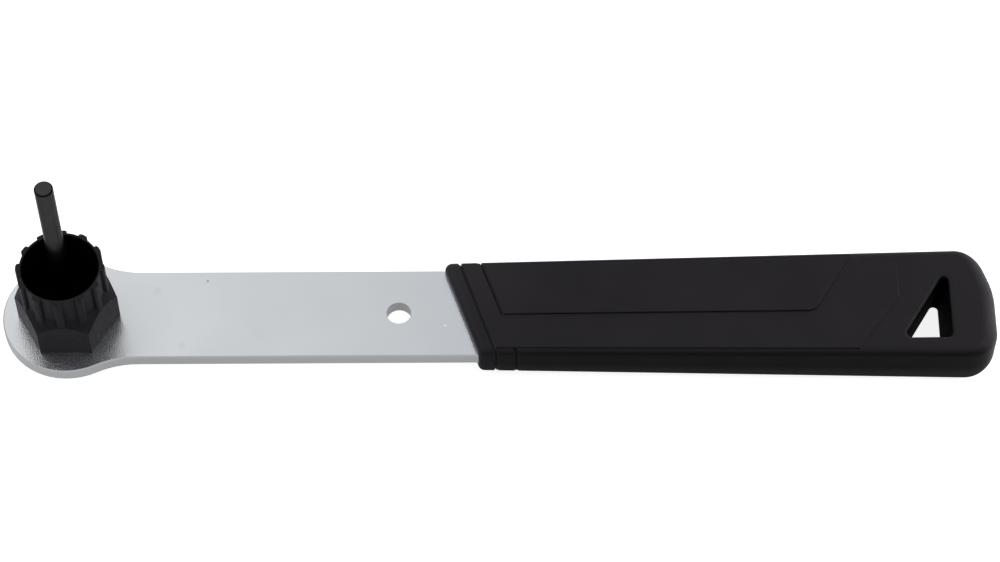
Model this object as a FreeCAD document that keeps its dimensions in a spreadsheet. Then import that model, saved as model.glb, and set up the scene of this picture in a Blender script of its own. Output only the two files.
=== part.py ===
import FreeCAD, Part
import math
import os
import Sketcher
from FreeCAD import Vector

# Cassette lockring tool: a flat steel bar with a round head, a splined hexagon socket seated in the head,
# a guide pin pressed into the socket, and a moulded grip round the bar's tang.
# The origin lies on the socket's axis at the bar's top face. X runs to the grip and Z up the guide pin.

# Driving sizes: millimetres, and degrees where the note says so
SIZES = (
    ("bar_thickness", 4.0, "steel bar"),
    ("bar_width", 27.2, "bar between head and grip"),
    ("bar_edge_chamfer", 0.35, "broken edges of the bar's outline"),
    ("head_diameter", 36.0, "round head under the socket"),
    ("neck_radius", 25.0, "hollow between head and bar"),
    ("hanger_x", 89.5, "round hole in the bar, from the socket's axis"),
    ("hanger_diameter", 6.7, "round hole in the bar"),
    ("shoulder_depth", 15.6, "from the grip's front to where the bar narrows to its tang"),
    ("tang_width", 18.0, "tang"),
    ("tang_cover", 37.2, "moulding behind the tang's end"),
    ("tang_corner", 3.0, "radius of the tang's corners"),
    ("anchor_diameter", 9.0, "holes in the tang that the moulding fills"),
    ("anchor_margin", 20.0, "first and last of them from the tang's ends"),
    ("anchor_count", 3.0, "how many, evenly spaced"),
    ("hex_across_flats", 24.0, "hexagon of the socket"),
    ("hex_height", 8.9, "hexagon's corner edges, up to the cone"),
    ("cone_angle", 28.0, "degrees from the axis"),
    ("spigot_across_flats", 19.0, "hexagon that passes through the bar"),
    ("spigot_chamfer", 0.6, "its end at the bar's underside"),
    ("spline_root_diameter", 21.8, "between the splines"),
    ("spline_tip_diameter", 23.8, "over the splines"),
    ("spline_width", 2.4, "one spline"),
    ("spline_crest_radius", 0.7, "rounding of a spline's crest"),
    ("spline_count", 12.0, "splines of a freewheel hub's lockring"),
    ("spline_lead", 0.35, "chamfer of the splines at the rim"),
    ("rim_height", 24.0, "rim of the socket over the bar"),
    ("cup_diameter", 20.5, "hollow of the socket"),
    ("cup_chamfer", 0.3, "mouth of the hollow"),
    ("cup_floor", 2.0, "floor of the hollow over the bar"),
    ("pin_diameter", 5.0, "guide pin"),
    ("pin_shank_diameter", 4.4, "its shank, pressed through the socket's floor"),
    ("pin_top", 61.6, "end of the guide pin over the bar"),
    ("pin_chamfer", 0.4, "both ends of the guide pin"),
    ("pin_recess", 0.6, "pin's lower end above the bar's underside"),
    ("grip_front", 106.4, "front of the grip on the long axis"),
    ("grip_length", 144.8, "grip along the long axis"),
    ("grip_lap", 1.0, "moulding beyond the bar's edges at the grip's front"),
    ("grip_spread", 4.5, "how much wider the grip is at its rear"),
    ("grip_wall", 3.5, "moulding over and under the bar at the grip's front"),
    ("grip_swell", 3.8, "how much thicker the grip is at its rear"),
    ("grip_edge_radius", 2.2, "long edges of the grip"),
    ("collar_slant", 19.0, "degrees, front face, ring grooves and the far part of the rear"),
    ("collar_corner", 1.8, "corners of the front face in plan"),
    ("rear_near_radius", 8.5, "rear corner on the near side"),
    ("rear_far_radius", 8.4, "rear corner on the far side"),
    ("rear_slope", 12.4, "width of the slanted part of the rear"),
    ("rear_crown", 25.0, "radius between the square and the slanted part"),
    ("rear_rounding", 4.2, "edges round the rear"),
    ("groove_1_place", 4.6, "first ring groove behind the grip's front, on the long axis"),
    ("groove_2_place", 10.0, "second ring groove behind the grip's front"),
    ("groove_width", 0.4, "ring grooves at their bottom"),
    ("groove_depth", 0.7, "ring grooves"),
    ("groove_crest", 0.45, "chamfers beside the grooves"),
    ("frame_rise", 0.35, "raised field over the grip's face"),
    ("frame_inset", 1.3, "its long edges from the grip's sides"),
    ("panel_rise", 0.5, "bare panel over the raised field"),
    ("step_rounding", 0.15, "chamfer of the raised edges"),
    ("panel_near", -3.1, "near edge of the panel"),
    ("panel_margin", 0.3, "land round the panel"),
    ("panel_end_near", 49.2, "rear edge of the panel at its near corner, before the grip's rear"),
    ("panel_end_far", 39.3, "rear edge of the panel at its far corner, before the grip's rear"),
    ("panel_corner", 3.0, "near rear corner of the panel"),
    ("field_end_near", 37.7, "end of the raised field at the near edge, before the grip's rear"),
    ("field_end", 26.2, "end of the raised field, before the grip's rear"),
    ("field_turn", 1.7, "where its slanted end turns square"),
    ("field_far", 12.3, "its far edge beside the hanging hole"),
    ("field_notch", 34.0, "where that edge begins, before the grip's rear"),
    ("field_corner", 1.5, "its rounded corner"),
    ("slot_near", -11.25, "near wall of the triangular hanging hole"),
    ("slot_front", 25.9, "its front corner, half way down, before the grip's rear"),
    ("slot_rear", 13.3, "its rear wall, half way down, before the grip's rear"),
    ("slot_lean", 30.6, "degrees, front wall from the cross direction"),
    ("slot_front_draft", 3.1, "degrees, how far the front wall leans forward going down"),
    ("slot_rear_draft", 7.4, "degrees, how far the rear wall leans forward going down"),
    ("slot_corner", 1.2, "its corners"),
    ("slot_mouth", 0.9, "rounding of its mouths"),
)

PARTS_FOLDER = "parts"

# How far a cutting outline runs past what it cuts, and how near two places count as the same one
CUT_SPARE = "1"
SAME_PLACE = 1e-4

# Rims of the grip whose direction has more of X than this run along its sides
ALONG_SIDE = 0.9

MIDDLE = "(-Sizes.bar_thickness / 2)"
SLANT = "tan(Sizes.collar_slant * 1 deg)"
GRIP_END = "(Sizes.grip_front + Sizes.grip_length)"
GROOVE_1 = "(Sizes.grip_front + Sizes.groove_1_place)"
GROOVE_2 = "(Sizes.grip_front + Sizes.groove_2_place)"
SHOULDER = "(Sizes.grip_front + Sizes.shoulder_depth)"
TANG_END = f"({GRIP_END} - Sizes.tang_cover)"
ANCHOR_PITCH = f"(({TANG_END} - {SHOULDER} - 2 * Sizes.anchor_margin) / max(Sizes.anchor_count - 1; 1))"
HALF_FRONT_WIDTH = "(Sizes.bar_width / 2 + Sizes.grip_lap)"
HALF_REAR_WIDTH = f"({HALF_FRONT_WIDTH} + Sizes.grip_spread / 2)"
HALF_FRONT_THICKNESS = "(Sizes.bar_thickness / 2 + Sizes.grip_wall)"
REAR_THICKNESS = f"(2 * {HALF_FRONT_THICKNESS} + Sizes.grip_swell)"

doc = FreeCAD.newDocument("cassette_lockring_tool")


def fill_sheet():
    """Driving sizes in one spreadsheet, each under its own alias."""
    sheet = doc.addObject("Spreadsheet::Sheet", "Sizes")
    for row, (alias, number, note) in enumerate(SIZES, start=1):
        sheet.set(f"A{row}", note)
        sheet.set(f"B{row}", str(number))
        sheet.setAlias(f"B{row}", alias)
    doc.recompute()
    return sheet


sizes = fill_sheet()


def value(expression):
    """Number that an expression of the sheet's sizes gives."""
    return FreeCAD.Units.Quantity(sizes.evalExpression(expression)).Value


def new_body(label):
    body = doc.addObject("PartDesign::Body", label)
    body.Label = label
    return body


def attach(body, kind, name, role="XY_Plane", height=None):
    """New sketch or plane on one of the body's own planes, lifted by height."""
    item = body.newObject(kind, f"{body.Name}_{name}")
    plane = next(feature for feature in body.Origin.OriginFeatures if feature.Role == role)
    item.AttachmentSupport = [(plane, "")]
    item.MapMode = "FlatFace"
    if height:
        item.setExpression("AttachmentOffset.Base.z", height)
    return item


def start_sketch(body, name, role="XY_Plane", height=None):
    return attach(body, "Sketcher::SketchObject", name, role, height)


def bind(sketch, constraint, expression):
    """Adds a constraint whose size follows the sheet."""
    number = sketch.addConstraint(constraint)
    sketch.setExpression(f"Constraints[{number}]", expression)


def pin_point(sketch, geometry, position, place):
    """Fixes a point of the sketch at a place, an x and a y expression, from the sketch's origin."""
    for kind, expression in zip(("DistanceX", "DistanceY"), place):
        bind(sketch, Sketcher.Constraint(kind, -1, 1, geometry, position, value(expression)), expression)


def draw_circle(sketch, x, y, diameter):
    centre = Vector(value(x), value(y), 0)
    circle = sketch.addGeometry(Part.Circle(centre, Vector(0, 0, 1), value(diameter) / 2))
    pin_point(sketch, circle, 3, (x, y))
    bind(sketch, Sketcher.Constraint("Diameter", circle, value(diameter)), diameter)


def corner_arc(before, corner, after, radius):
    """Where a rounded corner begins and ends, its centre, and whether it turns left."""
    back = (before - corner).normalize()
    ahead = (after - corner).normalize()
    half_angle = back.getAngle(ahead) / 2
    setback = radius / math.tan(half_angle)
    centre = corner + (back + ahead).normalize() * (radius / math.sin(half_angle))
    turns_left = back.cross(ahead).z < 0
    return corner + back * setback, corner + ahead * setback, centre, turns_left


def draw_outline(sketch, corners):
    """Closed outline through corners: an x, a y and a radius expression each, or no radius where sharp."""
    points = [Vector(value(x), value(y), 0) for x, y, radius in corners]
    count = len(points)
    arcs = {}
    for index, (x, y, radius) in enumerate(corners):
        if radius:
            neighbours = points[index - 1], points[index], points[(index + 1) % count]
            arcs[index] = corner_arc(*neighbours, value(radius))
    lines = []
    for index in range(count):
        following = (index + 1) % count
        start = arcs[index][1] if index in arcs else points[index]
        end = arcs[following][0] if following in arcs else points[following]
        lines.append(sketch.addGeometry(Part.LineSegment(start, end)))
    for index, (x, y, radius) in enumerate(corners):
        before, after = lines[index - 1], lines[index]
        if index not in arcs:
            sketch.addConstraint(Sketcher.Constraint("Coincident", before, 2, after, 1))
            pin_point(sketch, after, 1, (x, y))
            continue
        round_corner(sketch, before, after, arcs[index], radius)
        tip = sketch.addGeometry(Part.Point(points[index]), True)
        pin_point(sketch, tip, 1, (x, y))
        sketch.addConstraint(Sketcher.Constraint("PointOnObject", tip, 1, before))
        sketch.addConstraint(Sketcher.Constraint("PointOnObject", tip, 1, after))


def round_corner(sketch, before, after, arc, radius):
    """Tangent arc between two lines of an outline."""
    arrive, leave, centre, turns_left = arc
    start, end = (arrive, leave) if turns_left else (leave, arrive)
    angles = [math.atan2(point.y - centre.y, point.x - centre.x) for point in (start, end)]
    circle = Part.Circle(centre, Vector(0, 0, 1), value(radius))
    curve = sketch.addGeometry(Part.ArcOfCircle(circle, *angles))
    first, second = (1, 2) if turns_left else (2, 1)
    sketch.addConstraint(Sketcher.Constraint("Tangent", before, 2, curve, first))
    sketch.addConstraint(Sketcher.Constraint("Tangent", after, 1, curve, second))
    bind(sketch, Sketcher.Constraint("Radius", curve, value(radius)), radius)


def add_feature(body, kind, name, sketch, length=None, down=False, both_sides=False):
    """Pad or Pocket of a sketch, bound to a length."""
    feature = body.newObject(f"PartDesign::{kind}", f"{body.Name}_{name}")
    feature.Profile = sketch
    feature.Reversed = down
    if both_sides:
        feature.SideType = "Symmetric"
    feature.setExpression("Length", length)
    doc.recompute()
    return feature


def turn(body, kind, name, corners):
    """Revolution or Groove about the body's Z axis of an outline in the XZ plane."""
    sketch = start_sketch(body, f"{name}_profile", "XZ_Plane")
    draw_outline(sketch, corners)
    feature = body.newObject(f"PartDesign::{kind}", f"{body.Name}_{name}")
    feature.Profile = sketch
    feature.ReferenceAxis = (sketch, ["V_Axis"])
    feature.Angle = 360
    doc.recompute()
    return feature


def dress(body, kind, name, base, chosen, bound, size):
    """Fillet or Chamfer on the chosen edges of a feature."""
    feature = body.newObject(f"PartDesign::{kind}", f"{body.Name}_{name}")
    edges = [f"Edge{number}" for number, edge in enumerate(base.Shape.Edges, start=1) if chosen(edge)]
    feature.Base = (base, edges)
    feature.setExpression(bound, size)
    doc.recompute()
    return feature


def is_upright(edge):
    """Straight edge along Z."""
    ends = [vertex.Point for vertex in edge.Vertexes]
    if len(ends) != 2:
        return False
    return ends[0].isEqual(Vector(ends[1].x, ends[1].y, ends[0].z), SAME_PLACE) \
        and abs(ends[0].z - ends[1].z) > SAME_PLACE


def hexagon(across_flats):
    """Corners of a hexagon round the axis, two of them on the X axis."""
    reach = f"{across_flats} / 2 / cos(30 deg)"
    return [(f"{reach} * cos({60 * k} deg)", f"{reach} * sin({60 * k} deg)", None) for k in range(6)]


def at_height(edge, height):
    box = edge.BoundBox
    return abs(box.ZMin - height) < SAME_PLACE and abs(box.ZMax - height) < SAME_PLACE


def make_bar():
    """Stamped steel bar: head, neck, blade, tang, the socket's hexagon hole and the round holes."""
    body = new_body("steel_bar")
    head = start_sketch(body, "head")
    draw_circle(head, "0", "0", "Sizes.head_diameter")
    add_feature(body, "Pad", "head_pad", head, "Sizes.bar_thickness", down=True)
    blade = start_sketch(body, "blade")
    half = "Sizes.bar_width / 2"
    half_tang = "Sizes.tang_width / 2"
    corner = "Sizes.tang_corner"
    draw_outline(blade, [
        ("0", f"-{half}", None),
        (SHOULDER, f"-{half}", None),
        (SHOULDER, f"-{half_tang}", None),
        (TANG_END, f"-{half_tang}", corner),
        (TANG_END, half_tang, corner),
        (SHOULDER, half_tang, None),
        (SHOULDER, half, None),
        ("0", half, None),
    ])
    strip = add_feature(body, "Pad", "blade_pad", blade, "Sizes.bar_thickness", down=True)
    head_radius = value("Sizes.head_diameter / 2")

    def in_neck(edge):
        place = edge.CenterOfMass
        on_rim = abs(math.hypot(place.x, place.y) - head_radius) < SAME_PLACE
        return is_upright(edge) and place.x > 0 and on_rim

    neck = dress(body, "Fillet", "neck", strip, in_neck, "Radius", "Sizes.neck_radius")
    low = -value("Sizes.bar_thickness")
    shoulder = value(SHOULDER)

    def before_tang(edge):
        return (at_height(edge, 0) or at_height(edge, low)) and edge.BoundBox.XMin < shoulder - SAME_PLACE

    dress(body, "Chamfer", "broken_edges", neck, before_tang, "Size", "Sizes.bar_edge_chamfer")
    seat = start_sketch(body, "socket_seat")
    draw_outline(seat, hexagon("Sizes.spigot_across_flats"))
    add_feature(body, "Pocket", "seat_hole", seat, "Sizes.bar_thickness")
    holes = start_sketch(body, "round_holes")
    draw_circle(holes, "Sizes.hanger_x", "0", "Sizes.hanger_diameter")
    for number in range(round(value("Sizes.anchor_count"))):
        place = f"{SHOULDER} + Sizes.anchor_margin + {number} * {ANCHOR_PITCH}"
        draw_circle(holes, place, "0", "Sizes.anchor_diameter")
    add_feature(body, "Pocket", "round_hole_cuts", holes, "Sizes.bar_thickness")
    return body


def make_socket():
    """Hexagon, turned cone, cup with splines round its rim, and the spigot that holds it in the bar."""
    body = new_body("lockring_socket")
    root = "Sizes.spline_root_diameter / 2"
    tip = "Sizes.spline_tip_diameter / 2"
    corner = "Sizes.hex_across_flats / 2 / cos(30 deg)"
    slope = "tan(Sizes.cone_angle * 1 deg)"
    cone_end = f"(Sizes.hex_height + ({corner} - {root}) / {slope})"
    outside = "Sizes.hex_across_flats"
    cone_foot = f"(Sizes.hex_height - ({outside} - {corner}) / {slope})"

    foot = start_sketch(body, "hexagon")
    draw_outline(foot, hexagon("Sizes.hex_across_flats"))
    add_feature(body, "Pad", "hexagon_pad", foot, cone_end)
    turn(body, "Groove", "cone", [
        (root, cone_end, None),
        (outside, cone_foot, None),
        (outside, f"{cone_end} + {CUT_SPARE}", None),
        (root, f"{cone_end} + {CUT_SPARE}", None),
    ])
    barrel = start_sketch(body, "barrel")
    draw_circle(barrel, "0", "0", "Sizes.spline_root_diameter")
    add_feature(body, "Pad", "barrel_pad", barrel, "Sizes.rim_height")
    add_splines(body, root, tip)
    lead_radius = f"{tip} - Sizes.spline_lead"
    lead_height = "Sizes.rim_height - Sizes.spline_lead"
    turn(body, "Groove", "spline_lead_in", [
        (lead_radius, "Sizes.rim_height", None),
        (tip, lead_height, None),
        (outside, lead_height, None),
        (outside, "Sizes.rim_height", None),
    ])
    cup = "Sizes.cup_diameter / 2"
    turn(body, "Groove", "cup", [
        ("0", "Sizes.cup_floor", None),
        (cup, "Sizes.cup_floor", None),
        (cup, "Sizes.rim_height - Sizes.cup_chamfer", None),
        (f"{cup} + Sizes.cup_chamfer", "Sizes.rim_height", None),
        ("0", "Sizes.rim_height", None),
    ])
    section = start_sketch(body, "spigot")
    draw_outline(section, hexagon("Sizes.spigot_across_flats"))
    spigot = add_feature(body, "Pad", "spigot_pad", section, "Sizes.bar_thickness", down=True)
    low = -value("Sizes.bar_thickness")
    dress(body, "Chamfer", "spigot_end", spigot, lambda edge: at_height(edge, low),
          "Size", "Sizes.spigot_chamfer")
    bore = start_sketch(body, "pin_bore", height="-Sizes.bar_thickness")
    draw_circle(bore, "0", "0", "Sizes.pin_shank_diameter")
    add_feature(body, "Pocket", "pin_bore_cut", bore, "Sizes.bar_thickness + Sizes.rim_height", down=True)
    return body


def add_splines(body, root, tip):
    """One spline with a rounded crest, repeated round the axis, standing on the cone."""
    half = "Sizes.spline_width / 2"
    inside = "Sizes.cup_diameter / 2"
    spline = start_sketch(body, "spline", height="Sizes.hex_height")
    draw_outline(spline, [
        (inside, f"-{half}", None),
        (tip, f"-{half}", "Sizes.spline_crest_radius"),
        (tip, half, "Sizes.spline_crest_radius"),
        (inside, half, None),
    ])
    first = add_feature(body, "Pad", "spline_pad", spline, "Sizes.rim_height - Sizes.hex_height")
    ring = body.newObject("PartDesign::PolarPattern", f"{body.Name}_splines")
    ring.Originals = [first]
    ring.Axis = (spline, ["N_Axis"])
    ring.Angle = 360
    ring.setExpression("Occurrences", "Sizes.spline_count")
    body.Tip = ring
    doc.recompute()


def make_pin():
    """Round guide pin whose shoulder stands on the cup's floor, with a chamfer at each end."""
    body = new_body("guide_pin")
    radius = "Sizes.pin_diameter / 2"
    shank = "Sizes.pin_shank_diameter / 2"
    low = "(-Sizes.bar_thickness + Sizes.pin_recess)"
    turn(body, "Revolution", "turned", [
        ("0", low, None),
        (f"{shank} - Sizes.pin_chamfer", low, None),
        (shank, f"{low} + Sizes.pin_chamfer", None),
        (shank, "Sizes.cup_floor", None),
        (radius, "Sizes.cup_floor", None),
        (radius, "Sizes.pin_top - Sizes.pin_chamfer", None),
        (f"{radius} - Sizes.pin_chamfer", "Sizes.pin_top", None),
        ("0", "Sizes.pin_top", None),
    ])
    return body


def half_width(x):
    """Half of the grip's width at x."""
    return f"({HALF_FRONT_WIDTH} + Sizes.grip_spread / 2 / Sizes.grip_length * ({x} - Sizes.grip_front))"


def half_thickness(x):
    """Half of the grip's thickness at x, without what is raised on it."""
    return f"({HALF_FRONT_THICKNESS} + Sizes.grip_swell / 2 / Sizes.grip_length * ({x} - Sizes.grip_front))"


def flat_edge(x):
    """How far the grip's flat face reaches from the long axis at x."""
    return f"({half_width(x)} - Sizes.grip_edge_radius)"


def frame_edge(x):
    """How far the raised frame reaches from the long axis at x."""
    return f"({half_width(x)} - Sizes.frame_inset)"


def before_rear(size):
    """Place along X that a size gives, measured forward from the grip's rear."""
    return f"({GRIP_END} - Sizes.{size})"


def slanted(x, y):
    """Place along X of a line that crosses the long axis at x with the collar's slant."""
    return f"({x} - {SLANT} * ({y}))"


def trim_to_taper(body, name, rise, side="+"):
    """Pocket down to the grip's tapered face, raised by rise, on its upper or, with a minus, lower side."""
    start = f"(Sizes.grip_front - 2 * {HALF_REAR_WIDTH})"
    end = f"({GRIP_END} + 2 * {HALF_REAR_WIDTH})"
    outside = f"{MIDDLE} {side} 2 * {REAR_THICKNESS}"
    sketch = start_sketch(body, name, "XZ_Plane")
    draw_outline(sketch, [
        (start, f"{MIDDLE} {side} ({half_thickness(start)} + ({rise}))", None),
        (end, f"{MIDDLE} {side} ({half_thickness(end)} + ({rise}))", None),
        (end, outside, None),
        (start, outside, None),
    ])
    return add_feature(body, "Pocket", f"{name}_cut", sketch, f"4 * {HALF_REAR_WIDTH}", both_sides=True)


def face_edges(shape, inner=False):
    """Edges of the outer outlines, or else of the holes, of the flat faces that look mostly up or down."""
    steepest = math.cos(math.radians(45))
    faces = [face for face in shape.Faces
             if isinstance(face.Surface, Part.Plane) and abs(face.normalAt(0, 0).z) > steepest]
    wires = [wire for face in faces for wire in face.Wires if inner != wire.isSame(face.OuterWire)]
    return [edge for wire in wires for edge in wire.Edges]


def grip_blank(label, inset):
    """Plain tapered grip with rounded edges, smaller all round by inset."""
    body = new_body(f"{label}_block")
    front = f"({HALF_FRONT_WIDTH} - ({inset}))"
    rear = f"({HALF_REAR_WIDTH} - ({inset}))"
    outline = start_sketch(body, "outline", height=f"{MIDDLE} - {REAR_THICKNESS}")
    draw_outline(outline, [
        (slanted("Sizes.grip_front", f"-{front}"), f"-{front}", "Sizes.collar_corner"),
        (GRIP_END, f"-{rear}", "Sizes.rear_near_radius"),
        (GRIP_END, f"{rear} - Sizes.rear_slope", "Sizes.rear_crown"),
        (slanted(GRIP_END, "Sizes.rear_slope"), rear, "Sizes.rear_far_radius"),
        (slanted("Sizes.grip_front", front), front, "Sizes.collar_corner"),
    ])
    add_feature(body, "Pad", "blank", outline, f"2 * {REAR_THICKNESS}")
    trim_to_taper(body, "upper_face", f"-({inset})")
    trim_to_taper(body, "lower_face", f"-({inset})", side="-")
    return round_rims(label, body, value(inset))


def rim_radius(edge, parameter, inset):
    """Rounding of the grip at one end of a rim: larger where the rim runs across the rear."""
    across = abs(edge.tangentAt(parameter).x) < ALONG_SIDE
    behind = edge.valueAt(parameter).x > value("Sizes.grip_front + Sizes.grip_length / 2")
    radius = "Sizes.rear_rounding" if across and behind else "Sizes.grip_edge_radius"
    return value(radius) - inset


def round_rims(label, body, inset):
    """Rounds the rims of both faces, and more so towards the rear."""
    rims = face_edges(body.Shape)
    chosen = []
    for number, edge in enumerate(body.Shape.Edges, start=1):
        if any(edge.isSame(rim) for rim in rims):
            radii = [rim_radius(edge, parameter, inset) for parameter in (edge.FirstParameter, edge.LastParameter)]
            chosen.append((number, *radii))
    rounded = doc.addObject("Part::Fillet", label)
    rounded.Base = body
    rounded.Edges = chosen
    doc.recompute()
    return rounded


def slanted_band(label, place):
    """Upright slab across the grip where a ring groove runs."""
    body = new_body(label)
    half = "(Sizes.groove_width / 2 / cos(Sizes.collar_slant * 1 deg))"
    reach = f"(2 * {HALF_REAR_WIDTH})"
    outline = start_sketch(body, "outline", height=f"{MIDDLE} - {REAR_THICKNESS}")
    draw_outline(outline, [
        (slanted(f"{place} - {half}", f"-{reach}"), f"-{reach}", None),
        (slanted(f"{place} + {half}", f"-{reach}"), f"-{reach}", None),
        (slanted(f"{place} + {half}", reach), reach, None),
        (slanted(f"{place} - {half}", reach), reach, None),
    ])
    add_feature(body, "Pad", "slab", outline, f"2 * {REAR_THICKNESS}")
    return body


def raised_field(label, corners, rise):
    """Field of the grip's upper face raised by rise, with a chamfered edge."""
    body = new_body(label)
    outline = start_sketch(body, "outline", height=MIDDLE)
    draw_outline(outline, corners)
    add_feature(body, "Pad", "block", outline, REAR_THICKNESS)
    top = trim_to_taper(body, "face", rise)
    rims = [edge for edge in face_edges(top.Shape) if edge.CenterOfMass.z > value(MIDDLE) + SAME_PLACE]
    dress(body, "Chamfer", "edge", top, lambda edge: any(edge.isSame(rim) for rim in rims),
          "Size", "Sizes.step_rounding")
    return body


def frame_corners():
    """Raised field behind the first ring groove, open along the second one beside the panel."""
    half = "Sizes.groove_width / 2 / cos(Sizes.collar_slant * 1 deg)"
    behind_1 = f"{GROOVE_1} + {half}"
    before_2 = f"{GROOVE_2} - {half}"
    behind_2 = f"{GROOVE_2} + {half}"
    edge_1 = frame_edge(GROOVE_1)
    edge_2 = frame_edge(GROOVE_2)
    near = "Sizes.panel_near"
    end_near = before_rear("field_end_near")
    end = before_rear("field_end")
    notch = before_rear("field_notch")
    panel_end = before_rear("panel_end_far")
    return [
        (slanted(behind_1, f"-{edge_1}"), f"-{edge_1}", None),
        (end_near, f"-{frame_edge(end_near)}", None),
        (end, "Sizes.field_turn", "Sizes.field_corner"),
        (end, "Sizes.field_far", "Sizes.field_corner"),
        (notch, "Sizes.field_far", "Sizes.field_corner"),
        (f"{panel_end} + Sizes.panel_margin", frame_edge(panel_end), None),
        (slanted(behind_2, edge_2), edge_2, None),
        (slanted(behind_2, near), near, None),
        (slanted(before_2, near), near, None),
        (slanted(before_2, edge_2), edge_2, None),
        (slanted(behind_1, edge_1), edge_1, None),
    ]


def panel_corners():
    """Bare panel between the second ring groove and its slanted rear edge."""
    left = f"{GROOVE_2} + Sizes.groove_width / 2 / cos(Sizes.collar_slant * 1 deg) + Sizes.panel_margin"
    end_near = before_rear("panel_end_near")
    end_far = before_rear("panel_end_far")
    far_left = f"({flat_edge(GROOVE_2)} - Sizes.panel_margin)"
    far_right = f"({flat_edge(end_far)} - Sizes.panel_margin)"
    return [
        (slanted(left, "Sizes.panel_near"), "Sizes.panel_near", None),
        (end_near, "Sizes.panel_near", "Sizes.panel_corner"),
        (end_far, far_right, None),
        (slanted(left, far_left), far_left, None),
    ]


def lean_wall(body, base, name, half_way, direction, angle):
    """Leans one wall of the hanging hole, the one that looks along the direction."""
    feature = body.newObject("PartDesign::Draft", f"{body.Name}_{name}")
    walls = [f"Face{number}" for number, face in enumerate(base.Shape.Faces, start=1)
             if face.normalAt(0, 0).isEqual(direction, SAME_PLACE)]
    feature.Base = (base, walls)
    feature.NeutralPlane = (half_way, [""])
    feature.setExpression("Angle", angle)
    doc.recompute()
    return feature


def hanging_hole():
    """Triangular hole through the grip, its front and rear walls leaning forward going down."""
    body = new_body("hanging_hole")
    half_way = attach(body, "PartDesign::Plane", "half_way", height=MIDDLE)
    triangle = start_sketch(body, "triangle", height=MIDDLE)
    front_corner = before_rear("slot_front")
    rear_wall = before_rear("slot_rear")
    far = f"Sizes.slot_near + ({rear_wall} - {front_corner}) / tan(Sizes.slot_lean * 1 deg)"
    draw_outline(triangle, [
        (front_corner, "Sizes.slot_near", None),
        (rear_wall, "Sizes.slot_near", None),
        (rear_wall, far, None),
    ])
    prism = add_feature(body, "Pad", "prism", triangle, f"2 * {REAR_THICKNESS}", both_sides=True)
    lean = math.radians(value("Sizes.slot_lean"))
    forward = Vector(-math.cos(lean), math.sin(lean), 0)
    front = lean_wall(body, prism, "front", half_way, forward, "Sizes.slot_front_draft")
    rear = lean_wall(body, front, "rear", half_way, Vector(1, 0, 0), "-Sizes.slot_rear_draft")
    dress(body, "Fillet", "corners", rear, lambda edge: edge.BoundBox.ZLength > SAME_PLACE,
          "Radius", "Sizes.slot_corner")
    return body


def pierce(base, hole):
    """Cuts the hanging hole and rounds both its mouths."""
    pierced = cut("grip_pierced", base, hole)
    doc.recompute()
    radius = value("Sizes.slot_mouth")
    rims = face_edges(pierced.Shape, inner=True)
    rounded = doc.addObject("Part::Fillet", "grip_mouths")
    rounded.Base = pierced
    rounded.Edges = [(number, radius, radius) for number, edge in enumerate(pierced.Shape.Edges, start=1)
                     if any(edge.isSame(rim) for rim in rims)]
    doc.recompute()
    return rounded


def mirrored_below(body):
    """The same field on the grip's underside."""
    mirror = doc.addObject("Part::Mirroring", f"{body.Name}_below")
    mirror.Source = body
    mirror.Normal = Vector(0, 0, 1)
    mirror.setExpression("Base.z", MIDDLE)
    return mirror


def cut(label, base, tool):
    feature = doc.addObject("Part::Cut", label)
    feature.Base = base
    feature.Tool = tool
    return feature


def break_crests(base, core):
    """Chamfers the crests beside the ring grooves."""
    half = value("Sizes.groove_width / 2")
    slant = math.radians(value("Sizes.collar_slant"))
    normal = Vector(math.cos(slant), math.sin(slant), 0)
    grooves = [normal.x * value(place) for place in (GROOVE_1, GROOVE_2)]
    size = value("Sizes.groove_crest")
    chosen = []
    for number, edge in enumerate(base.Shape.Edges, start=1):
        places = [normal.dot(edge.valueAt(at)) for at in (edge.FirstParameter, edge.LastParameter)]
        beside = [any(abs(abs(place - groove) - half) < SAME_PLACE for groove in grooves) for place in places]
        outer = edge.distToShape(core.Shape)[0] > value("Sizes.groove_depth") / 2
        if all(beside) and outer:
            chosen.append((number, size, size))
    broken = doc.addObject("Part::Chamfer", "grip_crests")
    broken.Base = base
    broken.Edges = chosen
    doc.recompute()
    return broken


def make_grip(bar):
    """One moulding: grooved blank, raised fields on both faces, hanging hole, and the space of the tang."""
    blank = grip_blank("grip_blank", "0")
    core = grip_blank("grip_core", "Sizes.groove_depth")
    grooved = blank
    for number, place in enumerate((GROOVE_1, GROOVE_2), start=1):
        band = slanted_band(f"groove_{number}_band", place)
        ring = cut(f"groove_{number}_ring", band, core)
        grooved = cut(f"grooved_{number}", grooved, ring)
    doc.recompute()
    pierced = pierce(break_crests(grooved, core), hanging_hole())
    frame = raised_field("raised_frame", frame_corners(), "Sizes.frame_rise")
    panel = raised_field("bare_panel", panel_corners(), "Sizes.frame_rise + Sizes.panel_rise")
    moulding = doc.addObject("Part::MultiFuse", "grip_moulding")
    moulding.Shapes = [pierced, frame, panel, mirrored_below(frame), mirrored_below(panel)]
    grip = cut("grip", moulding, bar)
    doc.recompute()
    return grip


def check_document():
    """Stops where an object of the document has failed."""
    for item in doc.Objects:
        if "Invalid" in item.State or "Error" in item.State:
            raise RuntimeError(f"{item.Name} failed: {item.State}")


def write_parts(nodes):
    """One STEP file for each piece, named by its label."""
    os.makedirs(PARTS_FOLDER, exist_ok=True)
    for node in nodes:
        shape = node.Shape
        if shape.isNull() or not shape.isValid():
            raise RuntimeError(f"{node.Label} has no valid shape")
        print(node.Label, len(shape.Solids), "solid", round(shape.Volume, 1), "mm3")
    for node in nodes:
        node.Shape.exportStep(os.path.join(PARTS_FOLDER, f"{node.Label}.step"))


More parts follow.
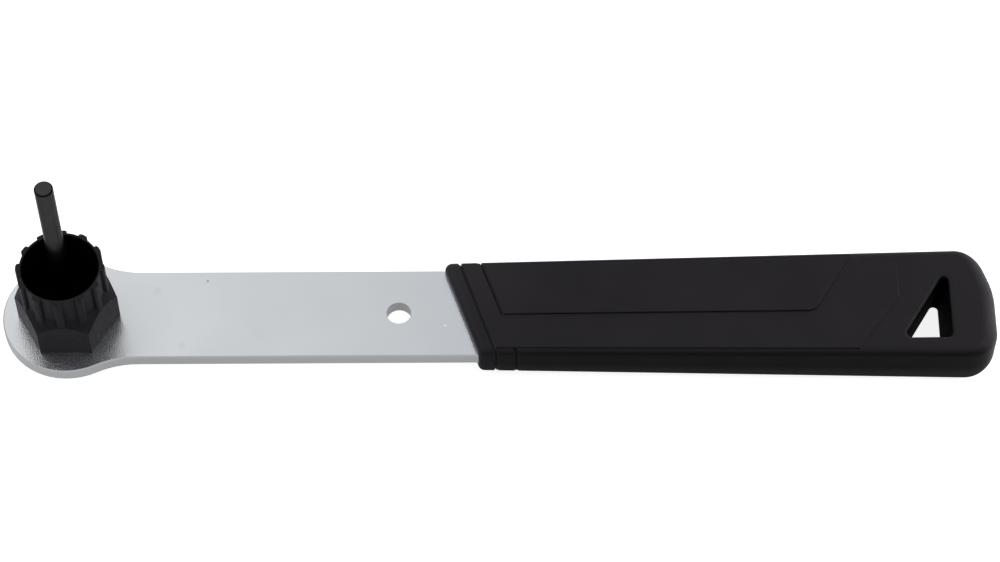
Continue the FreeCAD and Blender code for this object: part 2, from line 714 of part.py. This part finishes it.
bar = make_bar()
socket = make_socket()
pin = make_pin()
grip = make_grip(bar)
doc.recompute()
check_document()
write_parts((bar, socket, pin, grip))
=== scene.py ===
import math

import bpy
from mathutils import Matrix, Vector


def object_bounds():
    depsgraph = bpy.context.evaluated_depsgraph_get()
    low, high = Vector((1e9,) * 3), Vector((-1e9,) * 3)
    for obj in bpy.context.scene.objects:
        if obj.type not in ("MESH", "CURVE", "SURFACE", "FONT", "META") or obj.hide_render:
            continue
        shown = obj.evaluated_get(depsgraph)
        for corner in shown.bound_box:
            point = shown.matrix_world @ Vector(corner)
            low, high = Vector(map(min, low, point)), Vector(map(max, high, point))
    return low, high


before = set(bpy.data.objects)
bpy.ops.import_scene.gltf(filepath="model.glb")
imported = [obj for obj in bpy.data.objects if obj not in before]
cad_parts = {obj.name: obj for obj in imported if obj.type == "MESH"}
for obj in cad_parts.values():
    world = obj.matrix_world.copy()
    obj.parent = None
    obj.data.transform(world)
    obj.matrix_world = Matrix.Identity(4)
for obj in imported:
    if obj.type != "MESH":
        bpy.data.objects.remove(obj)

# Looks of a cassette lockring tool: satin steel bar, black oxide socket, dark guide pin, black moulded grip.
# Metres throughout. The origin is the socket's axis at the bar's top face, X runs to the grip, Z up the pin.

MM = 0.001

# Camera, as fitted to the photograph's outline of the tool
SENSOR_WIDTH_MM = 36.0
FRAME_WIDTH_PX = 1000.0
FOCAL_PX = 3419.9
CAMERA_PLACE = Vector((0.116746, -0.488806, 0.789955))
PITCH_DOWN = math.radians(57.723)
YAW = math.radians(0.032)
ROLL = math.radians(0.268)

# Floor
FLOOR_SIZE = 6.0
FLOOR_GAP = 0.02 * MM
FLOOR_COLOUR = (0.60, 0.60, 0.60, 1.0)
FLOOR_SEEN_GLOW = 0.82
FLOOR_REFLECTED_GLOW = 0.42

# Light level of the world for all that isn't seen directly or in a reflection
WORLD_FILL = 0.6

# Radius up to which shade is painted in the socket's cup, and the end of the guide pin
CUP_RADIUS = 10.38 * MM
PIN_TOP = 61.6 * MM

# Where the grip's hanging hole lies, for the shade painted on its walls
HOLE_FRONT = 224.5 * MM
HOLE_REAR = 240.5 * MM
HOLE_REACH = 12.5 * MM
HOLE_DEPTH = 6.9 * MM
HALF_WAY_DOWN = -2.0 * MM

# The grip's two slanted ring grooves: places on the long axis, slant from the cross direction, half width.
# On the grip's faces the second one ends at the panel's near edge.
GROOVE_1 = 111.0 * MM
GROOVE_2 = 116.4 * MM
GROOVE_SLANT = math.radians(19)
GROOVE_REACH = 0.42 * MM
PANEL_NEAR = -3.1 * MM


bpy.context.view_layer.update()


class Material:
    """Small helper that builds one Principled material node by node."""

    def __init__(self, name):
        self.material = bpy.data.materials.new(name)
        self.material.use_nodes = True
        self.tree = self.material.node_tree
        self.shader = self.tree.nodes["Principled BSDF"]
        self.object_place = self.add("ShaderNodeTexCoord").outputs["Object"]

    def add(self, kind, **settings):
        node = self.tree.nodes.new(kind)
        for name, value in settings.items():
            setattr(node, name, value)
        return node

    def join(self, output, target):
        self.tree.links.new(output, target)

    def feed(self, target, source):
        """Sets a socket to a number or colour, or links it to another node's output."""
        if isinstance(source, bpy.types.NodeSocket):
            self.join(source, target)
        else:
            target.default_value = source

    def stretched(self, scale, turn=(0.0, 0.0, 0.0)):
        """The object's own coordinates, scaled so that a grain can be long one way."""
        mapping = self.add("ShaderNodeMapping")
        mapping.inputs["Scale"].default_value = scale
        mapping.inputs["Rotation"].default_value = turn
        self.join(self.object_place, mapping.inputs["Vector"])
        return mapping.outputs["Vector"]

    def noise(self, size, detail=2.0, roughness=0.5, place=None):
        """Cloudy noise from 0 to 1 whose features are about one size across."""
        node = self.add("ShaderNodeTexNoise")
        node.inputs["Scale"].default_value = 1.0 / size
        node.inputs["Detail"].default_value = detail
        node.inputs["Roughness"].default_value = roughness
        self.join(place or self.object_place, node.inputs["Vector"])
        return node.outputs["Fac"]

    def cells(self, size):
        """Distance to the nearest of many scattered points about one size apart."""
        node = self.add("ShaderNodeTexVoronoi")
        node.inputs["Scale"].default_value = 1.0 / size
        self.join(self.object_place, node.inputs["Vector"])
        return node.outputs["Distance"]

    def span(self, source, low, high, to_low=0.0, to_high=1.0):
        """Maps low..high of a value to to_low..to_high, held at both ends."""
        node = self.add("ShaderNodeMapRange", clamp=True)
        self.feed(node.inputs["Value"], source)
        self.feed(node.inputs["From Min"], low)
        self.feed(node.inputs["From Max"], high)
        self.feed(node.inputs["To Min"], to_low)
        self.feed(node.inputs["To Max"], to_high)
        return node.outputs["Result"]

    def sum(self, first, second):
        return self.math("ADD", first, second)

    def times(self, first, second):
        return self.math("MULTIPLY", first, second)

    def math(self, operation, first, second=0.0):
        node = self.add("ShaderNodeMath", operation=operation)
        self.feed(node.inputs[0], first)
        self.feed(node.inputs[1], second)
        return node.outputs["Value"]

    def mix_colour(self, share, first, second):
        node = self.add("ShaderNodeMix", data_type="RGBA")
        self.feed(node.inputs["Factor"], share)
        self.feed(node.inputs["A"], first)
        self.feed(node.inputs["B"], second)
        return node.outputs["Result"]

    def bump(self, height, depth, under=None):
        """Relief of a 0 to 1 height, depth metres deep, on top of the relief under it."""
        node = self.add("ShaderNodeBump")
        node.inputs["Distance"].default_value = depth
        node.inputs["Strength"].default_value = 1.0
        self.join(height, node.inputs["Height"])
        if under:
            self.join(under, node.inputs["Normal"])
        return node.outputs["Normal"]

    def from_axis(self):
        """Distance from the socket's axis."""
        length = self.add("ShaderNodeVectorMath", operation="LENGTH")
        self.join(self.stretched(scale=(1.0, 1.0, 0.0)), length.inputs[0])
        return length.outputs["Value"]

    def place(self, axis):
        """Place along X, Y or Z, from the socket's axis at the bar's top face."""
        parts = self.add("ShaderNodeSeparateXYZ")
        self.join(self.object_place, parts.inputs["Vector"])
        return parts.outputs[axis]

    def facing(self, axis):
        """How squarely the surface looks along an axis, either way: 0 to 1."""
        parts = self.add("ShaderNodeSeparateXYZ")
        self.join(self.add("ShaderNodeNewGeometry").outputs["Normal"], parts.inputs["Vector"])
        return self.math("ABSOLUTE", parts.outputs[axis])

    def within(self, source, low, high, softness):
        """1 between low and high, 0 outside them."""
        rise = self.span(source, low, low + softness)
        fall = self.span(source, high - softness, high, 1.0, 0.0)
        return self.times(rise, fall)

    def spot(self, centre, radius, softness):
        """1 inside a small ball, 0 outside it."""
        away = self.add("ShaderNodeVectorMath", operation="DISTANCE")
        self.join(self.object_place, away.inputs[0])
        away.inputs[1].default_value = centre
        return self.span(away.outputs["Value"], radius, radius + softness, 1.0, 0.0)

    def finish(self, colour, roughness, normal=None, metal=0.0, specular=0.5):
        self.feed(self.shader.inputs["Base Color"], colour)
        self.feed(self.shader.inputs["Roughness"], roughness)
        self.feed(self.shader.inputs["Metallic"], metal)
        self.shader.inputs["Specular IOR Level"].default_value = specular
        if normal:
            self.join(normal, self.shader.inputs["Normal"])
        return self.material


def grey(level, red=1.0, blue=1.0):
    """Colour of one level of grey, whose red and blue may be a little more or less."""
    return (level * red, level, level * blue, 1.0)


def satin_steel():
    """Zinc-plated stamping: darker to the grip, with clouds, a pebbled grain, scuffs and small marks, a
    painted reflection of the socket around its foot and painted shade on the faces that don't look up.
    """
    m = Material("satin_steel")
    clouds = m.noise(22 * MM, detail=3.0)
    grain = m.noise(0.34 * MM, detail=1.0)
    pits = m.cells(0.7 * MM)
    along = m.stretched(scale=(0.06, 1.0, 1.0), turn=(0.0, 0.0, math.radians(4)))
    scuffs = m.span(m.noise(0.9 * MM, detail=4.0, place=along), 0.60, 0.72)
    dark_spot = m.spot((37.2 * MM, 10.6 * MM, 0.0), 0.12 * MM, 0.35 * MM)
    faint_mark = m.spot((23.6 * MM, 7.7 * MM, 0.0), 0.3 * MM, 1.4 * MM)
    second_mark = m.spot((31.1 * MM, -9.9 * MM, 0.0), 0.2 * MM, 1.2 * MM)
    light_speck = m.spot((102.0 * MM, -4.0 * MM, 0.0), 0.12 * MM, 0.3 * MM)
    # Painted reflection of the black socket: the plate darker around the socket's foot.
    socket_reflection = m.spot((5 * MM, -8 * MM, 0.0), 11 * MM, 14 * MM)
    # Painted shade: the plate's sides and edge chamfers, all faces that don't look up, darker.
    painted_side_shade = m.span(m.facing("Z"), 0.80, 0.95, 1.0, 0.0)
    to_grip = m.span(m.place("X"), 10 * MM, 105 * MM)
    plate = m.mix_colour(to_grip, grey(0.648, 0.97, 1.025), grey(0.542, 0.95, 1.05))
    plate = m.mix_colour(m.span(clouds, 0.35, 0.65, 0.10, 0.0), plate, grey(0.42, 0.97, 1.03))
    plate = m.mix_colour(m.times(scuffs, 0.05), plate, grey(0.75))
    plate = m.mix_colour(m.times(m.sum(faint_mark, second_mark), 0.18), plate, grey(0.40))
    plate = m.mix_colour(m.times(light_speck, 0.7), plate, grey(0.85))
    plate = m.mix_colour(m.times(socket_reflection, 0.12), plate, grey(0.30))
    plate = m.mix_colour(painted_side_shade, plate, grey(0.40, 0.97, 1.03))
    plate = m.mix_colour(m.times(dark_spot, 0.75), plate, grey(0.16))
    roughness = m.span(clouds, 0.3, 0.7, 0.22, 0.26)
    relief = m.bump(grain, 0.036 * MM)
    relief = m.bump(pits, 0.008 * MM, under=relief)
    return m.finish(plate, roughness, relief, metal=1.0)


def black_oxide():
    """Dull blackened forging: uneven tone, a fine sandy grain, rubbed edges, and painted shade that makes
    the cup near black.
    """
    m = Material("black_oxide")
    tone = m.noise(3.0 * MM, detail=4.0)
    grain = m.noise(0.22 * MM, detail=3.0, roughness=0.6)
    edges = m.span(m.add("ShaderNodeNewGeometry").outputs["Pointiness"], 0.52, 0.60)
    # Painted shade in the cup: inside CUP_RADIUS a near-black metal that hardly reflects.
    cup = m.span(m.from_axis(), CUP_RADIUS, CUP_RADIUS + 0.1 * MM, 1.0, 0.0)
    colour = m.mix_colour(m.span(tone, 0.35, 0.65), grey(0.0054, 1.11, 1.35), grey(0.0078, 1.11, 1.35))
    colour = m.mix_colour(m.times(edges, 0.25), colour, grey(0.05))
    colour = m.mix_colour(cup, colour, grey(0.004))
    roughness = m.span(m.noise(1.2 * MM, detail=3.0), 0.3, 0.7, 0.50, 0.62)
    return m.finish(colour, roughness, m.bump(grain, 0.010 * MM), metal=cup, specular=0.09)


def dark_pin():
    """Ground rod under thin dark oxide: rings of the grinding round it, and painted shade that makes the
    chamfer at its end black.
    """
    m = Material("dark_pin")
    rings = m.noise(0.35 * MM, detail=2.0, place=m.stretched(scale=(0.05, 0.05, 1.0)))
    tone = m.noise(6.0 * MM, detail=3.0)
    # Painted shade: the chamfer at the pin's end near black.
    chamfer = m.within(m.place("Z"), PIN_TOP - 0.42 * MM, PIN_TOP - 0.02 * MM, 0.03 * MM)
    end = m.span(m.place("Z"), PIN_TOP - 0.10 * MM, PIN_TOP - 0.02 * MM)
    colour = m.mix_colour(m.span(tone, 0.35, 0.65), grey(0.042, 1.03, 1.03), grey(0.050, 1.03, 1.03))
    colour = m.mix_colour(end, colour, grey(0.045))
    colour = m.mix_colour(chamfer, colour, grey(0.004))
    roughness = m.span(rings, 0.3, 0.7, 0.18, 0.22)
    m.shader.inputs["Specular Tint"].default_value = grey(0.5)
    return m.finish(colour, roughness, metal=1.0)


def plastic(level):
    """Colour of the moulding at one level: a black with a little red and more blue in it."""
    return grey(level, 1.12, 1.20)


def hole_walls(m):
    """1 on the walls of the grip's hanging hole, where shade is painted."""
    in_length = m.within(m.place("X"), HOLE_FRONT, HOLE_REAR, 0.2 * MM)
    in_width = m.within(m.place("Y"), -HOLE_REACH, HOLE_REACH, 0.2 * MM)
    in_depth = m.within(m.place("Z"), HALF_WAY_DOWN - HOLE_DEPTH, HALF_WAY_DOWN + HOLE_DEPTH, 0.5 * MM)
    return m.times(m.times(in_length, in_width), in_depth)


def flank_shade(m):
    """Colour of the grip's long sides, painted shade: darkest high up, with painted light from the table
    lighter to the foot, and painted light near the collar.
    """
    foot_light = m.span(m.place("Z"), -8.5 * MM, -2.5 * MM, 1.0, 0.0)
    collar_side_light = m.span(m.place("X"), 108 * MM, 130 * MM, 0.3, 0.0)
    colour = m.mix_colour(foot_light, plastic(0.002), plastic(0.026))
    return m.mix_colour(collar_side_light, colour, plastic(0.028))


def groove_light(m):
    """1 along the bottom of the ring grooves in the grip's faces, where light is painted to offset their
    shade.
    """
    slanted = m.sum(m.place("X"), m.times(m.place("Y"), math.tan(GROOVE_SLANT)))
    first = m.within(slanted, GROOVE_1 - GROOVE_REACH, GROOVE_1 + GROOVE_REACH, 0.25 * MM)
    second = m.within(slanted, GROOVE_2 - GROOVE_REACH, GROOVE_2 + GROOVE_REACH, 0.25 * MM)
    beside_panel = m.span(m.place("Y"), PANEL_NEAR, PANEL_NEAR + 0.5 * MM)
    return m.sum(first, m.times(second, beside_panel))


def grip_plastic():
    """Spark-eroded moulding: a leathery grain, soft clouds, duller flanks under painted shade, painted light
    on the collar and in the grooves, and painted shade in the hanging hole.
    """
    m = Material("grip_plastic")
    grain = m.noise(0.16 * MM, detail=3.0, roughness=0.65)
    coarse = m.noise(0.9 * MM, detail=2.0)
    clouds = m.noise(14 * MM, detail=3.0)
    hole = hole_walls(m)
    long_side = m.span(m.facing("Y"), 0.45, 0.90)
    # Painted light: the moulding lighter around the front of the collar, where light catches it.
    collar_light = m.spot((106 * MM, 16 * MM, 5 * MM), 4 * MM, 22 * MM)
    colour = m.mix_colour(m.span(clouds, 0.35, 0.65), plastic(0.0122), plastic(0.0140))
    colour = m.mix_colour(collar_light, colour, grey(0.0205, 1.10, 1.16))
    # Painted light: the groove bottoms lighter, offsetting the shade in them.
    colour = m.mix_colour(groove_light(m), colour, grey(0.036, 1.08, 1.12))
    # Painted shade on the long sides, with painted light to their foot and near the collar.
    colour = m.mix_colour(long_side, colour, flank_shade(m))
    # Painted shade: the hanging hole's walls black, a metal without reflection.
    colour = m.mix_colour(hole, colour, grey(0.0))
    roughness = m.sum(m.span(clouds, 0.3, 0.7, 0.38, 0.44), m.times(long_side, 0.30))
    roughness = m.math("MAXIMUM", roughness, hole)
    relief = m.bump(grain, 0.012 * MM)
    relief = m.bump(coarse, 0.010 * MM, under=relief)
    return m.finish(colour, roughness, relief, metal=hole, specular=0.08)


FINISHES = {
    "steel_bar": satin_steel,
    "lockring_socket": black_oxide,
    "guide_pin": dark_pin,
    "grip": grip_plastic,
}


def dress_nodes():
    for name, make in FINISHES.items():
        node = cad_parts[name]
        node.data.materials.clear()
        node.data.materials.append(make())


def make_floor():
    """Plain pale light table: it shows white, lights the object a little from below and takes its shadow."""
    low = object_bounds()[0].z
    mesh = bpy.data.meshes.new("floor")
    half = FLOOR_SIZE / 2
    corners = [(-half, -half, 0), (half, -half, 0), (half, half, 0), (-half, half, 0)]
    mesh.from_pydata(corners, [], [(0, 1, 2, 3)])
    floor = bpy.data.objects.new("floor", mesh)
    floor.location = (0.0, 0.0, low - FLOOR_GAP)
    bpy.context.scene.collection.objects.link(floor)
    mesh.materials.append(floor_material())


def floor_material():
    """Dull pale surface that glows where the camera or a reflection sees it, under its shadow."""
    material = bpy.data.materials.new("floor")
    material.use_nodes = True
    tree = material.node_tree
    shader = tree.nodes["Principled BSDF"]
    shader.inputs["Base Color"].default_value = FLOOR_COLOUR
    shader.inputs["Roughness"].default_value = 0.9
    shader.inputs["Specular IOR Level"].default_value = 0.1
    glow = tree.nodes.new("ShaderNodeEmission")
    both = tree.nodes.new("ShaderNodeAddShader")
    rays = tree.nodes.new("ShaderNodeLightPath")
    seen = strength_between(tree, rays.outputs["Is Camera Ray"], 0.0, FLOOR_SEEN_GLOW)
    reflected = strength_between(tree, rays.outputs["Is Glossy Ray"], 0.0, FLOOR_REFLECTED_GLOW)
    tree.links.new(larger(tree, seen, reflected), glow.inputs["Strength"])
    tree.links.new(shader.outputs["BSDF"], both.inputs[0])
    tree.links.new(glow.outputs["Emission"], both.inputs[1])
    tree.links.new(both.outputs["Shader"], tree.nodes["Material Output"].inputs["Surface"])
    return material


def larger(tree, first, second):
    """The larger of two values."""
    node = tree.nodes.new("ShaderNodeMath")
    node.operation = "MAXIMUM"
    tree.links.new(first, node.inputs[0])
    tree.links.new(second, node.inputs[1])
    return node.outputs["Value"]


def strength_between(tree, share, low, high):
    """A strength from low to high as the share goes from 0 to 1."""
    node = tree.nodes.new("ShaderNodeMapRange")
    node.inputs["To Min"].default_value = low
    node.inputs["To Max"].default_value = high
    tree.links.new(share, node.inputs["Value"])
    return node.outputs["Result"]


def make_world():
    """White where seen or reflected, and an even fill of lower strength for the rest."""
    world = bpy.data.worlds.new("studio")
    bpy.context.scene.world = world
    world.use_nodes = True
    tree = world.node_tree
    background = tree.nodes["Background"]
    background.inputs["Color"].default_value = (1.0, 1.0, 1.0, 1.0)
    rays = tree.nodes.new("ShaderNodeLightPath")
    seen = larger(tree, rays.outputs["Is Camera Ray"], rays.outputs["Is Glossy Ray"])
    seen = larger(tree, seen, rays.outputs["Is Transmission Ray"])
    tree.links.new(strength_between(tree, seen, WORLD_FILL, 1.0), background.inputs["Strength"])


def area_lamp(name, place, target, size, watts):
    """Softbox that faces a point."""
    light = bpy.data.lights.new(name, "AREA")
    light.shape = "RECTANGLE"
    light.size, light.size_y = size
    light.energy = watts
    lamp = bpy.data.objects.new(name, light)
    lamp.location = place
    lamp.rotation_euler = (Vector(target) - Vector(place)).to_track_quat("-Z", "Y").to_euler()
    bpy.context.scene.collection.objects.link(lamp)
    return lamp


def make_lamps():
    """Two large softboxes, and a small gridded one for the grip's rear, which only dull surfaces show."""
    middle = (0.11, 0.0, 0.0)
    area_lamp("left_softbox", (-0.75, 0.10, 1.05), middle, (0.9, 0.9), 3.2)
    area_lamp("right_softbox", (1.05, 0.30, 1.00), middle, (0.9, 0.9), 3.2)
    fill = area_lamp("rear_fill", (0.42, 0.10, 0.014), (0.25, 0.0, 0.0), (0.12, 0.04), 0.085)
    fill.data.spread = math.radians(40)
    fill.visible_camera = False
    fill.visible_glossy = False


def make_camera():
    """Pinhole camera at the photograph's place and angle."""
    flat = Vector((math.cos(YAW), -math.sin(YAW), 0.0))
    forward = Vector((
        math.sin(YAW) * math.cos(PITCH_DOWN),
        math.cos(YAW) * math.cos(PITCH_DOWN),
        -math.sin(PITCH_DOWN),
    ))
    under = forward.cross(flat)
    right = math.cos(ROLL) * flat + math.sin(ROLL) * under
    down = forward.cross(right)
    data = bpy.data.cameras.new("camera")
    data.sensor_width = SENSOR_WIDTH_MM
    data.lens = FOCAL_PX / FRAME_WIDTH_PX * SENSOR_WIDTH_MM
    data.clip_start = 0.01
    camera = bpy.data.objects.new("camera", data)
    turn = Matrix((right, -down, -forward)).transposed()
    camera.matrix_world = Matrix.Translation(CAMERA_PLACE) @ turn.to_4x4()
    bpy.context.scene.collection.objects.link(camera)
    bpy.context.scene.camera = camera


dress_nodes()
make_floor()
make_world()
make_lamps()
make_camera()
bpy.context.scene.view_settings.view_transform = "Standard"
